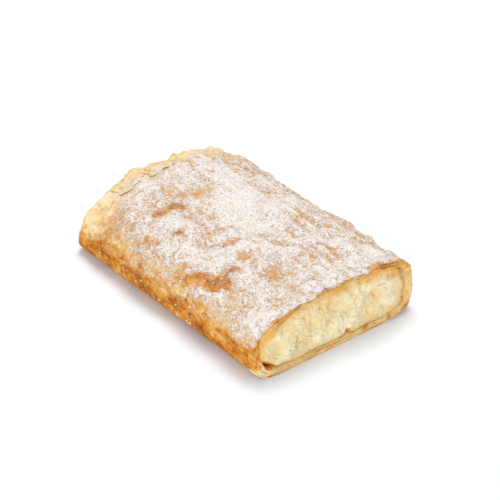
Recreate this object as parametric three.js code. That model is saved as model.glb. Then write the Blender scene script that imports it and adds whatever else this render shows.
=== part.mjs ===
// One portion of baked cheese strudel, cut from a longer roll at both ends: a sleeve of blistered
// strudel dough round a core of curd cheese, which shows at the two cuts.
// Millimetres, +Z up. +X runs along the roll, and the origin is under the middle of the flat base.
import * as THREE from "three";
import { ImprovedNoise } from "three/addons/math/ImprovedNoise.js";

// Driving dimensions of the roll
const LENGTH = 118; // between the two cuts, before the torn edges
const WIDTH = 80; // at the widest level
const HEIGHT = 28; // at the crest, before the blisters
const WIDEST_LEVEL = 9.5; // height of the widest level above the base
const BASE_DIP = 2.2; // how far the round underside would pass below the flat base

// Squareness of the section's corners: 2 is an ellipse, and more is boxier. Left is the -Y side.
// The roll has slumped to a softer left shoulder at its far end, and its right side is lifted.
const FAR_CORNERS = { left: 1.8, right: 2.9, lowerLeft: 4, lowerRight: 2.4 };
const NEAR_CORNERS = { left: 2.7, right: 3.2, lowerLeft: 4, lowerRight: 2.1 };

// Crust left between the skin and the filling: the dough's overlap makes the right side thickest
const CRUST = { top: 1.9, left: 3.2, right: 5, bottom: 2.9 };
const FILLING_GAP = 0.4; // keeps the two solids clear of each other
const CREVICE_CORNER = 2.3; // the filling's rounder lower left corner has shrunk from the crust

// Wrinkles of the skin: long swells that run with the roll, and short puckers
const SWELL = { along: 26, across: 10, height: 1.1 };
const PUCKER = { along: 9, across: 6, height: 0.55 };
const SMOOTH_BELOW = 2; // the side is smooth under this level, so that the base stays flat
const WRINKLED_ABOVE = 9; // and fully wrinkled over this one

// Blisters where the dough lifted off the filling: centre, half-length, half-width and rise
const BLISTERS = [
  { x: 18, y: -36, z: 20, along: 15, across: 10, rise: 2.6 }, // large one on the front shoulder
  { x: -38, y: -13, z: 26, along: 9, across: 12, rise: 1.9 }, // steep fold near the far end
  { x: -6, y: 12, z: 27, along: 24, across: 11, rise: 1.5 }, // long swell along the crest
  { x: 34, y: 4, z: 28, along: 17, across: 12, rise: 1.2 },
  { x: -14, y: -22, z: 25, along: 12, across: 8, rise: 1.4 },
  { x: 4, y: -17, z: 26, along: 9, across: 7, rise: -1.1 }, // sunk patch beside the large blister
  { x: 36, y: -28, z: 24, along: 10, across: 8, rise: -0.9 },
  { x: -44, y: 20, z: 26, along: 12, across: 10, rise: 1.3 },
];

// A ragged line or lumpy face follows one slice through the noise, and each slice is another pattern.
// The outermost leaf of dough has broken off near the far cut, along a ragged line
const BROKEN_LEAF = { length: 12, raggedness: 6, tooth: 10, thickness: 0.9, edge: 1.3, slice: 8.5 };

// Torn edges of the crust: the far cut is ragged on top, and the near one is cleaner
const FAR_TEAR = { tooth: 8, depth: 3.2, slice: 0.5 };
const NEAR_TEAR = { tooth: 6, depth: 1.1, slice: 4.5 };
const BASE_TEAR_SHARE = 0.3; // the base tears less than the top
const WORN_CORNER = { depth: 1.7, width: 7 }; // the cuts' outer edges have crumbled off
const GROOVE = { depth: 1.6, length: 9, sliceStep: 2.5 }; // gaps between the dough's leaves at a cut
const LIP = { y: 19, halfWidth: 11, reach: 1.6, lift: 0.9, startsAt: 0.93 }; // loose flake over the near cut

// Cut faces of the filling: set back under the crust's edge, lumpy, with an air pocket at the near one
const FILLING_SETBACK = 0.9;
const CURD = { size: 8, depth: 1.1, slice: 0.5 };
const AIR_POCKET = { y: 5, z: 4.5, radius: 3, depth: 2 };

// Facets
const AROUND = 84;
const CROWDING = 0.42; // draws the facets from the flat base to the wrinkled top
const CROWN_SHARE = 0.27; // where the crest lies on the way round the section
const OUTER_ROWS = 48;
const RIM_ROWS = 4;
const INNER_ROWS = 6;
const CORE_FACETS = { along: 4, across: 32, up: 10 };

const noise = new ImprovedNoise();
const { lerp, smoothstep } = THREE.MathUtils;

function signedPower(value, exponent) {
  return Math.sign(value) * Math.abs(value) ** exponent;
}

// The roll's outline across its length, inset by a crust. It starts at the +Y side,
// passes over the crest to the -Y side and comes back along the base.
class RollSection extends THREE.Curve {
  constructor(corners, crust) {
    super();
    this.corners = corners;
    this.crust = crust;
    this.arcLengthDivisions = 2000;
  }

  getPoint(t, target = new THREE.Vector3()) {
    const { corners, crust } = this;
    const across = Math.cos(2 * Math.PI * t);
    const up = Math.sin(2 * Math.PI * t);
    const halfWidth = WIDTH / 2 - (across > 0 ? crust.right : crust.left);
    const shoulder = across > 0 ? corners.right : corners.left;
    const lowerCorner = across > 0 ? corners.lowerRight : corners.lowerLeft;
    const squareness = up > 0 ? shoulder : lowerCorner;
    const rise = up > 0 ? HEIGHT - crust.top - WIDEST_LEVEL : WIDEST_LEVEL - crust.bottom + BASE_DIP;
    const y = halfWidth * signedPower(across, 2 / squareness);
    const z = WIDEST_LEVEL + rise * signedPower(up, 2 / squareness);
    return target.set(0, y, Math.max(z, crust.bottom));
  }
}

// A section at each end, between which the roll changes evenly.
function rollSections(crust, corners = {}) {
  return {
    far: new RollSection({ ...FAR_CORNERS, ...corners }, crust),
    near: new RollSection({ ...NEAR_CORNERS, ...corners }, crust),
  };
}

const noCrust = { top: 0, left: 0, right: 0, bottom: 0 };
const crustAndGap = {
  top: CRUST.top + FILLING_GAP,
  left: CRUST.left + FILLING_GAP,
  right: CRUST.right + FILLING_GAP,
  bottom: CRUST.bottom + FILLING_GAP,
};
const skin = rollSections(noCrust);
const lining = rollSections(CRUST);
const core = rollSections(crustAndGap, { lowerLeft: CREVICE_CORNER });

// Share of the way round a section for the facet line u, crowded towards the crest.
function wayRound(u) {
  const turn = 2 * Math.PI * (u - CROWN_SHARE);
  const share = u - (CROWDING * Math.sin(turn)) / (2 * Math.PI);
  return share - Math.floor(share);
}

function sectionPoint(sections, u, along) {
  const share = wayRound(u);
  return sections.far.getPointAt(share).lerp(sections.near.getPointAt(share), along);
}

// The skin's outward direction, square to the section's outline.
function skinNormal(u, along) {
  const share = wayRound(u);
  const tangent = skin.far.getTangentAt(share).lerp(skin.near.getTangentAt(share), along);
  return new THREE.Vector3(0, tangent.z, -tangent.y).normalize();
}

function blisterRise(blister, point) {
  const along = (point.x - blister.x) / blister.along;
  const across = Math.hypot(point.y - blister.y, point.z - blister.z) / blister.across;
  const away = along * along + across * across;
  return away < 1 ? blister.rise * (1 - away) ** 2 : 0;
}

function wrinkleRise(wrinkle, point) {
  const wave = noise.noise(point.x / wrinkle.along, point.y / wrinkle.across, point.z / wrinkle.across);
  return wrinkle.height * wave;
}

// How far the skin lies lower where the outermost leaf has broken off.
function brokenLeafDrop(point) {
  const { length, raggedness, tooth, thickness, edge, slice } = BROKEN_LEAF;
  const ragged = raggedness * noise.noise(point.y / tooth, point.z / tooth, slice);
  const line = length + ragged - LENGTH / 2;
  return thickness * (1 - smoothstep(point.x, line - edge, line + edge));
}

// How far the skin stands proud of the plain roll.
function skinRise(point) {
  const wrinkles = wrinkleRise(SWELL, point) + wrinkleRise(PUCKER, point);
  const blisters = BLISTERS.reduce((sum, blister) => sum + blisterRise(blister, point), 0);
  const relief = wrinkles + blisters - brokenLeafDrop(point);
  return relief * smoothstep(point.z, SMOOTH_BELOW, WRINKLED_ABOVE);
}

// How far a cut's edge is torn back at one place of the section.
function tearBack(tear, point, layer) {
  const wave = noise.noise(point.y / tear.tooth, point.z / tear.tooth, tear.slice + layer);
  const share = lerp(BASE_TEAR_SHARE, 1, smoothstep(point.z, SMOOTH_BELOW, HEIGHT));
  const worn = WORN_CORNER.depth * smoothstep(Math.abs(point.y), WIDTH / 2 - WORN_CORNER.width, WIDTH / 2);
  return tear.depth * share * (0.5 + wave) + worn;
}

// How far the gap between two leaves goes in at one place of the section.
function grooveDepth(point, rimRow) {
  const wave = noise.noise(point.y / GROOVE.length, point.z / GROOVE.length, GROOVE.sliceStep * rimRow);
  return rimRow % 2 ? GROOVE.depth * (0.5 + wave) : 0;
}

// Weight of the loose flake that overhangs the near cut, from 0 away from it to 1 at its middle.
function lipWeight(point) {
  const away = (point.y - LIP.y) / LIP.halfWidth;
  const onTop = smoothstep(point.z, WIDEST_LEVEL, HEIGHT - CRUST.top);
  return Math.abs(away) < 1 ? onTop * (1 - away * away) ** 2 : 0;
}

// The cuts' places along X for one layer of the crust, from 0 at the skin to 1 at the filling.
function cutEnds(point, layer, rimRow) {
  const groove = grooveDepth(point, rimRow);
  const lip = LIP.reach * lipWeight(point) * (1 - layer);
  const far = tearBack(FAR_TEAR, point, layer) + groove;
  const near = tearBack(NEAR_TEAR, point, layer) + groove - lip;
  return { far: -LENGTH / 2 + far, near: LENGTH / 2 - near };
}

// Where a row of the sleeve lies: along the roll from the far cut (0) to the near one (1),
// and through the crust from the skin (0) to the lining (1). The rows run along the skin,
// in over the near cut, back along the lining and out over the far cut.
function sleeveRow(row) {
  const nearRim = row - OUTER_ROWS;
  const inside = nearRim - RIM_ROWS;
  const farRim = inside - INNER_ROWS;
  if (nearRim <= 0) return { along: row / OUTER_ROWS, layer: 0 };
  if (inside <= 0) return { along: 1, layer: nearRim / RIM_ROWS, rimRow: nearRim };
  if (farRim <= 0) return { along: 1 - inside / INNER_ROWS, layer: 1 };
  return { along: 0, layer: 1 - farRim / RIM_ROWS, rimRow: farRim };
}

const SLEEVE_ROWS = OUTER_ROWS + 2 * RIM_ROWS + INNER_ROWS;

function sleevePoint(u, v) {
  const { along, layer, rimRow = 0 } = sleeveRow(Math.round(v * SLEEVE_ROWS));
  const outside = sectionPoint(skin, u, along);
  const point = outside.clone().lerp(sectionPoint(lining, u, along), layer);
  const ends = cutEnds(outside, layer, rimRow);
  point.x = lerp(ends.far, ends.near, along);
  outside.x = point.x;
  point.addScaledVector(skinNormal(u, along), skinRise(outside) * (1 - layer));
  point.z += LIP.lift * lipWeight(outside) * smoothstep(along, LIP.startsAt, 1) * (1 - layer);
  return point;
}

// How far the near face of the filling sinks into its air pocket.
function pocketDepth(point) {
  const away = Math.hypot(point.y - AIR_POCKET.y, point.z - AIR_POCKET.z) / AIR_POCKET.radius;
  return away < 1 ? AIR_POCKET.depth * (1 - away * away) : 0;
}

const CORE_LEVEL = (HEIGHT - CRUST.top + CRUST.bottom) / 2;

// The filling is worked out from a block of side 1: its length becomes the way along the roll,
// and its square section is rounded to the core's by carrying each ring of the square to the outline.
function fillingPoint(block) {
  const along = block.x + 0.5;
  const spread = 2 * Math.max(Math.abs(block.y), Math.abs(block.z));
  const turn = Math.atan2(block.z, block.y) / (2 * Math.PI);
  const outline = core.far.getPoint(turn).lerp(core.near.getPoint(turn), along);
  const point = new THREE.Vector3(0, 0, CORE_LEVEL).lerp(outline, spread);
  const lumps = CURD.depth * noise.noise(point.y / CURD.size, point.z / CURD.size, CURD.slice + along);
  const farFace = -LENGTH / 2 + FAR_TEAR.depth / 2 + FILLING_SETBACK;
  const nearFace = LENGTH / 2 - NEAR_TEAR.depth / 2 - FILLING_SETBACK - pocketDepth(point);
  point.x = lerp(farFace, nearFace, along) + lumps;
  return point;
}

// Carries each vertex of a plain closed geometry to its place on the food.
function reshape(geometry, placeOf) {
  const { position } = geometry.attributes;
  for (let i = 0; i < position.count; i++) {
    const place = placeOf(i);
    position.setXYZ(i, place.x, place.y, place.z);
  }
  geometry.computeVertexNormals();
  return geometry;
}

// A sleeve that is open at both cuts is a ring in the round, so it starts as a torus.
function pastry() {
  const ring = new THREE.TorusGeometry(1, 0.5, SLEEVE_ROWS, AROUND);
  const { uv } = ring.attributes;
  reshape(ring, (i) => sleevePoint(uv.getX(i), uv.getY(i)));
  const bakedDough = new THREE.MeshStandardMaterial({ color: 0xd8a35a, roughness: 0.75, metalness: 0 });
  const mesh = new THREE.Mesh(ring, bakedDough);
  mesh.name = "pastry";
  return mesh;
}

// The core is closed all round and has two flat cuts, so it starts as a block.
function filling() {
  const { along, across, up } = CORE_FACETS;
  const block = new THREE.BoxGeometry(1, 1, 1, along, across, up);
  const { position } = block.attributes;
  reshape(block, (i) => fillingPoint(new THREE.Vector3().fromBufferAttribute(position, i)));
  const curdCheese = new THREE.MeshStandardMaterial({ color: 0xefdfae, roughness: 0.55, metalness: 0 });
  const mesh = new THREE.Mesh(block, curdCheese);
  mesh.name = "filling";
  return mesh;
}

const strudel = new THREE.Group();
strudel.name = "cheese_strudel";
const portion = new THREE.Group();
portion.add(pastry(), filling());

// Torn edges and blisters are uneven, so the portion is moved to bring the middle of its base to the origin.
const bounds = new THREE.Box3().setFromObject(portion, true);
const centre = bounds.getCenter(new THREE.Vector3());
portion.position.set(-centre.x, -centre.y, -bounds.min.z);
strudel.add(portion);

export default strudel;
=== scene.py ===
# %% [markdown]
# # A portion of cheese strudel
#
# The real thing is a flattened roll of paper-thin strudel dough, baked golden round a filling of curd
# cheese, cut across while it was warm and dusted with icing sugar. Three things make it look the way it
# does: a crust that blisters and breaks into leaves, a moist lumpy filling at the cut, and sugar that lies
# like snow, thick on what faces up and thin on what faces sideways.
#
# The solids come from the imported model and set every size. Each visible piece starts from them, so that it
# sits where they sit, and Blender adds what is too fine for them.

# %% Load the solids
import math
from collections import namedtuple

import bmesh
import bpy
import numpy as np
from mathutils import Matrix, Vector, noise
from mathutils.bvhtree import BVHTree


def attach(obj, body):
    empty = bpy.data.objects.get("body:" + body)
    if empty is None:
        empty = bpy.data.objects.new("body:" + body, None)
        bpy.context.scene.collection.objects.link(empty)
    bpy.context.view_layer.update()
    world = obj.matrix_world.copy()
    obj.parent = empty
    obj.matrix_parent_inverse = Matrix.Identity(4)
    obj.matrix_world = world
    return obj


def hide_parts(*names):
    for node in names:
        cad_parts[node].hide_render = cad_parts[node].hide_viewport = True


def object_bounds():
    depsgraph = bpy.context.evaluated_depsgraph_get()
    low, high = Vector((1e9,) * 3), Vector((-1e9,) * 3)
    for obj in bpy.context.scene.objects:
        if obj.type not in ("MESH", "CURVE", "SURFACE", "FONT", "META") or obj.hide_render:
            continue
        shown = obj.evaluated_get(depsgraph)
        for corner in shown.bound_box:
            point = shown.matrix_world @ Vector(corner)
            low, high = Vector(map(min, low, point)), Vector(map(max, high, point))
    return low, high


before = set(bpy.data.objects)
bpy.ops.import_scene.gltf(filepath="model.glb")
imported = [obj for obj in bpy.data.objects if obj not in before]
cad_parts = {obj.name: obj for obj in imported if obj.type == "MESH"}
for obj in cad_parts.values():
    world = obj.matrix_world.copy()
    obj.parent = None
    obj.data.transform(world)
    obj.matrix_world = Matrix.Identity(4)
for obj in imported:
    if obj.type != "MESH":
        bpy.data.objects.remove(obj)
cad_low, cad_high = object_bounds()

MM = 0.001
print("solids:", sorted(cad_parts), "size in mm:", [round(x / MM, 1) for x in cad_high - cad_low])

# %% [markdown]
# ## Camera
#
# A camera could be placed by eye. Here its direction was measured from the photographed roll instead: the
# two long edges and the cut give the turn and the tilt, and how little they converge gives a long lens. The
# small shift puts the roll slightly left of and below the middle of the picture.

# %% Camera
AZIMUTH = math.radians(51.1)
ELEVATION = math.radians(33.1)
DISTANCE = 838 * MM
AIM = Vector((0, 0, 12 * MM))
LENS = 152  # focal length in millimetres
SHIFT = (0.0179, 0.0074)  # of the picture over the roll, to the right and up, in picture widths

towards_camera = Vector((
    math.sin(AZIMUTH) * math.cos(ELEVATION),
    -math.cos(AZIMUTH) * math.cos(ELEVATION),
    math.sin(ELEVATION),
))
camera = bpy.data.objects.new("camera", bpy.data.cameras.new("camera"))
camera.data.lens = LENS
camera.data.shift_x, camera.data.shift_y = SHIFT
camera.location = AIM + DISTANCE * towards_camera
camera.rotation_euler = towards_camera.to_track_quat("Z", "Y").to_euler()
bpy.context.scene.collection.objects.link(camera)
bpy.context.scene.camera = camera
print("camera stands", round(camera.location.length / MM), "mm away")

# %% [markdown]
# ## Colours and shader nodes
#
# Colours are written as they look on a screen, in sRGB hex, and Blender works with linear light, so one
# function turns one into the other. One helper adds a shader node, sets its options and fills its inputs:
# an input that is given another node's output is linked, and any other value is set on the socket.

# %% Colour and node helpers
def linear(hex_colour):
    """The linear RGBA of an sRGB colour such as "#d8a35a"."""
    channels = [int(hex_colour[i:i + 2], 16) / 255 for i in (1, 3, 5)]
    return [*(c / 12.92 if c <= 0.04045 else ((c + 0.055) / 1.055) ** 2.4 for c in channels), 1.0]


def add_node(tree, kind, options=None, inputs=None):
    """A new node with these options, whose inputs are set to values or linked to outputs."""
    node = tree.nodes.new("ShaderNode" + kind)
    for name, value in (options or {}).items():
        setattr(node, name, value)
    for name, value in (inputs or {}).items():
        if isinstance(value, bpy.types.NodeSocket):
            tree.links.new(value, node.inputs[name])
        else:
            node.inputs[name].default_value = value
    return node


def new_material(name):
    """An empty material: its node tree, and the surface socket that its shader goes to."""
    material = bpy.data.materials.new(name)
    material.use_nodes = True
    material.node_tree.nodes.clear()
    output = add_node(material.node_tree, "OutputMaterial")
    return material, material.node_tree, output.inputs["Surface"]


def per_metre(size_mm):
    """The texture scale whose pattern repeats about every size_mm."""
    return 1 / (size_mm * MM)


print("golden crust in linear light:", [round(c, 3) for c in linear("#d8a35a")])

# %% [markdown]
# ## Floor and light
#
# Food is often photographed on white paper under a large soft box. The box hangs above and a little behind
# the roll, so that a short soft shadow falls in front of it and the wrinkles of the top show. A pale,
# slightly blue sky fills the shadows, and a weaker second lamp beside the camera lights the cut.
#
# The crust throws golden light on the paper, which would make the shadow brown. So the paper is given a
# faint blue-green glow: painted light, too weak to see where the paper is bright, that keeps the shadow
# grey.

# %% Floor, sky and lamps
FLOOR_HALF_SIZE = 2.0  # metres
FLOOR_GLOW = 0.03  # strength of the paper's painted blue-green glow
SKY_STRENGTH = 0.57
# power in watts, width in metres and place in metres of each lamp
LAMPS = {
    "soft_box": (5.4, 0.52, Vector((-0.19, 0.19, 0.90))),
    "fill_lamp": (4.0, 0.60, Vector((0.62, -0.76, 0.30))),
}

floor_shape = bmesh.new()
bmesh.ops.create_grid(floor_shape, x_segments=1, y_segments=1, size=FLOOR_HALF_SIZE)
floor_mesh = bpy.data.meshes.new("studio_floor")
floor_shape.to_mesh(floor_mesh)
floor_shape.free()
floor = bpy.data.objects.new("studio_floor", floor_mesh)
bpy.context.scene.collection.objects.link(floor)

# Matt white paper: even, with no gloss, and a faint blue-green glow that is painted light.
paper, tree, surface = new_material("matt_white_paper")
sheet = add_node(tree, "BsdfPrincipled", inputs={
    "Base Color": linear("#f5f7fa"),
    "Roughness": 1.0,
    "Specular IOR Level": 0.0,
    "Emission Color": linear("#00e8ff"),
    "Emission Strength": FLOOR_GLOW,
})
tree.links.new(sheet.outputs["BSDF"], surface)
floor_mesh.materials.append(paper)

sky = bpy.data.worlds.new("white_sky")
sky.use_nodes = True
sky.node_tree.nodes["Background"].inputs["Color"].default_value = linear("#f2f7ff")
sky.node_tree.nodes["Background"].inputs["Strength"].default_value = SKY_STRENGTH
bpy.context.scene.world = sky

for name, (power, width, spot) in LAMPS.items():
    lamp = bpy.data.objects.new(name, bpy.data.lights.new(name, "AREA"))
    lamp.data.energy = power
    lamp.data.size = width
    lamp.location = spot
    lamp.rotation_euler = spot.to_track_quat("Z", "Y").to_euler()
    bpy.context.scene.collection.objects.link(lamp)
bpy.context.scene.view_settings.view_transform = "Standard"
print("sky", SKY_STRENGTH, "and lamps of", [power for power, _, _ in LAMPS.values()], "W")

# %% [markdown]
# ## Places on the roll
#
# Everything below is described in millimetres, as places on the roll: x along it from the far cut to the
# near one, y across it from the front side to the back, and z up. Three helpers do most of the work. One
# gives a smooth rise between two levels, one gives noise whose bumps have a given size, and one looks up
# the skin of the solid by casting a ray at it from outside.

# %% Helpers for places
_, WIDTH, HEIGHT = (side / MM for side in cad_high - cad_low)
FAR_CUT, NEAR_CUT = cad_low.x / MM, cad_high.x / MM
MIDDLE_LEVEL = 13.0  # height of the roll's middle line
OUTSIDE = 80.0  # rays at the skin start this far out
WHOLE_CRUST = 7.0  # this far from a cut the crust is whole all the way round
TEAR_STEP = 0.5  # where the skin is torn away it is looked for in steps of this length
UP, DOWN = Vector((0, 0, 1)), Vector((0, 0, -1))
BACK, FRONT = Vector((0, 1, 0)), Vector((0, -1, 0))
WAVER_SEED = 2
noise.seed_set(WAVER_SEED)  # without it, noise_vector would differ from run to run


def rise(value, low, high):
    """0 below low, 1 above high, and a smooth way up between them."""
    share = min(max((value - low) / (high - low), 0.0), 1.0)
    return share * share * (3 - 2 * share)


def bumps(place, along, across, pattern=0.0):
    """Noise from about -1 to 1, with bumps as long as along (in x) and as wide as across (in y and z)."""
    return noise.noise((place[0] / along + pattern, place[1] / across, place[2] / across - pattern))


pastry_solid = BVHTree.FromObject(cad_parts["pastry"], bpy.context.evaluated_depsgraph_get())


def towards_skin(angle):
    """Direction out of the roll's middle at an angle round it: 0 is the back, a quarter turn the crest."""
    return Vector((0, math.cos(angle) * WIDTH, math.sin(angle) * HEIGHT)).normalized()


def skin_at(x, angle):
    """Place in millimetres and normal of the skin at x and at an angle round the roll.

    A ray that slips through a tear hits nothing or the opposite wall, and x then steps away from the cut.
    """
    out = towards_skin(angle)
    middle = Vector((0, 0, MIDDLE_LEVEL))
    hit = None
    while hit is None or (hit / MM - middle).dot(out) < 0:
        start = Vector((x, 0, MIDDLE_LEVEL)) + OUTSIDE * out
        hit, normal, _, _ = pastry_solid.ray_cast(start * MM, -out)
        x -= math.copysign(TEAR_STEP, x)
    return hit / MM, normal


def crust_at(x, angle):
    """Places of the lining and of the skin at x and at an angle round the roll."""
    out = towards_skin(angle)
    lining, _, _, _ = pastry_solid.ray_cast(Vector((x, 0, MIDDLE_LEVEL)) * MM, out)
    skin, _ = skin_at(x, angle)
    return (lining / MM if lining else skin), skin


def angle_at(place):
    """The angle round the roll at which a place lies."""
    return math.atan2((place.z - MIDDLE_LEVEL) / HEIGHT, place.y / WIDTH)


def crust_depth(place):
    """How deep in the crust a place lies, 0 at the skin and 1 at the lining, and the crust's thickness."""
    whole = max(min(place.x, NEAR_CUT - WHOLE_CRUST), FAR_CUT + WHOLE_CRUST)
    lining, skin = crust_at(whole, angle_at(place))
    thickness = max((skin - lining).length, 0.1)
    below_skin = (skin - Vector((whole, place.y, place.z))).dot(towards_skin(angle_at(place)))
    return min(max(below_skin / thickness, 0.0), 1.0), thickness


lining_top, skin_top = crust_at(0, math.pi / 2)
print("crust on top is", round(skin_top.z - lining_top.z, 1), "mm thick")

# %% [markdown]
# ## Folds of the skin
#
# The outer leaf of dough is larger than what it covers, so in the oven it buckles. Sugar falls from above
# and misses the steep side of each fold, which stays bare and brown, and its core is painted darker still,
# as the fold's shade. A fold is described by its middle, its heading and its size, and the same list makes
# both the ridge and the bare patch. They could be sculpted by hand, but a list can be read and changed.

# %% Folds
# heading is the direction of the crest line in degrees from +X. The steep side is on its right, and bare
# says how much of the sugar is missing there. Lengths are in millimetres.
Fold = namedtuple("Fold", "x y heading half_length height steep gentle bare")
FOLDS = [
    Fold(-28.2, -19.2, 60, 3.4, 1.5, 2.3, 6, 1.0),
    Fold(-25.6, -12.4, 42, 4.8, 1.6, 2.2, 6, 1.0),
    Fold(-10.8, -22.7, 46, 3.2, 0.9, 2.0, 3, 0.95),
    Fold(-18.4, -29.4, 20, 5.0, 0.8, 1.8, 4, 0.8),
    Fold(-13.8, -12.0, 12, 6.5, 0.7, 1.6, 4, 0.8),
    Fold(-4.0, -12.8, -10, 5.0, 0.5, 1.6, 3, 0.7),
    Fold(7.2, -12.0, 72, 5.2, 1.1, 2.8, 4, 0.8),
    Fold(12.5, -7.0, 21, 4.0, 0.5, 1.0, 3, 0.5),
    Fold(22.1, -23.5, 77, 4.4, 1.1, 2.6, 4, 0.95),
    Fold(22.9, 3.3, 20, 6.4, 1.1, 2.2, 5, 0.85),
    Fold(34.2, 13.4, 41, 4.2, 0.7, 1.8, 3, 0.85),
    Fold(-33.0, 8.4, 16, 5.5, 0.8, 0.8, 4, 0.55),
    Fold(-48.0, 11.3, -11, 7.5, 0.9, 1.0, 4, 0.8),
    Fold(8.0, 22.0, 4, 13.0, 0.7, 0.9, 4, 0.25),
    Fold(36.0, 25.0, -2, 12.0, 0.7, 0.9, 3, 0.3),
]
FOLDED_ABOVE = 12.0  # only the upper skin has folds
FOLD_WAVER = 0.7  # the crest lines waver by this much
FOLD_WAVE = 3.2  # and about this often


def fold_shape(place):
    """How far the folds raise the skin at a place, and how bare they leave it, from 0 to 1."""
    raised, bare = 0.0, 0.0
    if place.z < FOLDED_ABOVE:
        return raised, bare
    wavering = place + FOLD_WAVER * noise.noise_vector(place / FOLD_WAVE)
    for fold in FOLDS:
        turn = math.radians(fold.heading)
        dx, dy = wavering.x - fold.x, wavering.y - fold.y
        along = abs(dx * math.cos(turn) + dy * math.sin(turn)) / fold.half_length
        across = dx * math.sin(turn) - dy * math.cos(turn)
        if along > 1.0 or abs(across) > 3 * fold.gentle:
            continue
        ends = 1 - along * along
        reach = fold.steep if across > 0 else fold.gentle
        raised += fold.height * ends * math.exp(-(across / reach) ** 2)
        on_steep_side = math.exp(-((across - 0.9 * fold.steep) / (0.75 * fold.steep)) ** 2)
        bare = max(bare, fold.bare * rise(ends, 0.0, 0.6) * on_steep_side)
    return raised, bare


print(len(FOLDS), "folds, the highest", max(fold.height for fold in FOLDS), "mm")

# %% [markdown]
# ## Where the sugar lies, and how brown the crust is
#
# Both are painted once for every point of the crust and kept as attributes on the mesh, so that the crust's
# material, the loose leaves and the grains of sugar all follow the same map. They could be masks in the
# shader, but then the grains couldn't read them.
#
# The sugar was sifted from above: it is thick on what faces up, thin on the sides, and missing from the far
# end, from the blister on the front shoulder and from the steep side of each fold. The crust is palest
# where it is torn and darkest along the foot, which lay on the hot tray.

# %% Blister, torn corner and uneven spots
# a wrinkled blister on the front shoulder: heading is the direction of its length in degrees from +X, edge
# says over which share of its size it fades out, and its outline wavers
BLISTER = {
    "x": 20.0, "y": -32.2, "heading": 22.0, "half_length": 12.0, "half_width": 4.8,
    "edge": (0.35, 1.30), "waver": 1.4, "wave": 4.0,
}
# the outer leaf's torn edge at the near cut's back corner: how far it reaches along the roll at each y
TORN_EDGE_Y = [14.0, 17.0, 20.0, 24.0, 28.0, 33.5]
TORN_EDGE_X = [56.6, 57.4, 58.4, 58.8, 58.4, 56.6]
# places where sugar lies thinner than around them, or thicker where thin is below 0
Spot = namedtuple("Spot", "x y radius thin")
UNEVEN_SPOTS = [
    Spot(-27.0, 1.0, 7.0, 0.45),
    Spot(-32.0, -7.0, 6.0, 0.25),
    Spot(-38.0, -27.0, 13.0, 0.25),
    Spot(34.0, -13.0, 11.0, 0.24),
    Spot(34.3, -11.1, 4.0, 0.12),
    Spot(46.0, -14.5, 7.0, 0.16),
    Spot(19.7, -14.8, 5.0, 0.40),
    Spot(37.0, -36.5, 13.0, 0.38),
    Spot(4.7, -32.5, 5.0, 0.50),
    Spot(20.0, 31.0, 7.0, 0.30),
    Spot(-27.0, 31.0, 7.0, 0.25),
    Spot(46.0, 32.0, 6.0, 0.25),
    Spot(-11.0, 5.5, 12.0, -0.60),
    Spot(-3.4, -5.0, 6.0, -0.30),
    Spot(-41.0, 4.0, 7.0, -0.30),
    Spot(-27.0, 16.0, 8.0, -0.35),
    Spot(16.6, -22.0, 4.0, -0.35),
    Spot(26.3, 6.5, 4.5, -0.35),
    Spot(6.0, 3.0, 7.0, -0.20),
    Spot(-20.0, -22.0, 5.0, -0.25),
    Spot(0.0, 30.0, 9.0, -0.30),
    Spot(50.0, 25.0, 8.0, -0.50),
    Spot(53.0, -32.0, 6.0, -0.45),
    Spot(18.5, -38.5, 5.0, -0.60),
]


def on_blister(place):
    """1 at the middle of the blister on the front shoulder, and 0 outside it."""
    wavering = place + BLISTER["waver"] * noise.noise_vector(place / BLISTER["wave"])
    turn = math.radians(BLISTER["heading"])
    off_x, off_y = wavering.x - BLISTER["x"], wavering.y - BLISTER["y"]
    along = (math.cos(turn) * off_x + math.sin(turn) * off_y) / BLISTER["half_length"]
    across = (math.cos(turn) * off_y - math.sin(turn) * off_x) / BLISTER["half_width"]
    return 1 - rise(along * along + across * across, *BLISTER["edge"])


def torn_edge(y):
    """How far along the roll the outer leaf reaches at the near cut's back corner."""
    ragged = 0.5 * noise.noise((y / 2.0, 4.4, 0.0)) + 0.3 * noise.noise((y / 0.8, 8.1, 0.0))
    return float(np.interp(y, TORN_EDGE_Y, TORN_EDGE_X)) + ragged


def torn_corner(place):
    """1 where the outer leaf has torn away from the near cut's back corner, and 0 under the leaf."""
    tear = torn_edge(place.y)
    return rise(place.x, tear - 1.2, tear - 0.6) * rise(place.y, TORN_EDGE_Y[0], TORN_EDGE_Y[1])


def unevenness(place):
    """How much thinner the sugar is at a place than its facing alone would make it."""
    thin = 0.0
    for spot in UNEVEN_SPOTS:
        away = math.hypot(place.x - spot.x, place.y - spot.y) / spot.radius
        thin += spot.thin * (1 - rise(away, 0.2, 1.0))
    return thin


print(len(UNEVEN_SPOTS), "spots of thinner or thicker sugar")

# %% Map of sugar
SPECKLE = 0.48  # how much the cover changes from heap to heap


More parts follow.
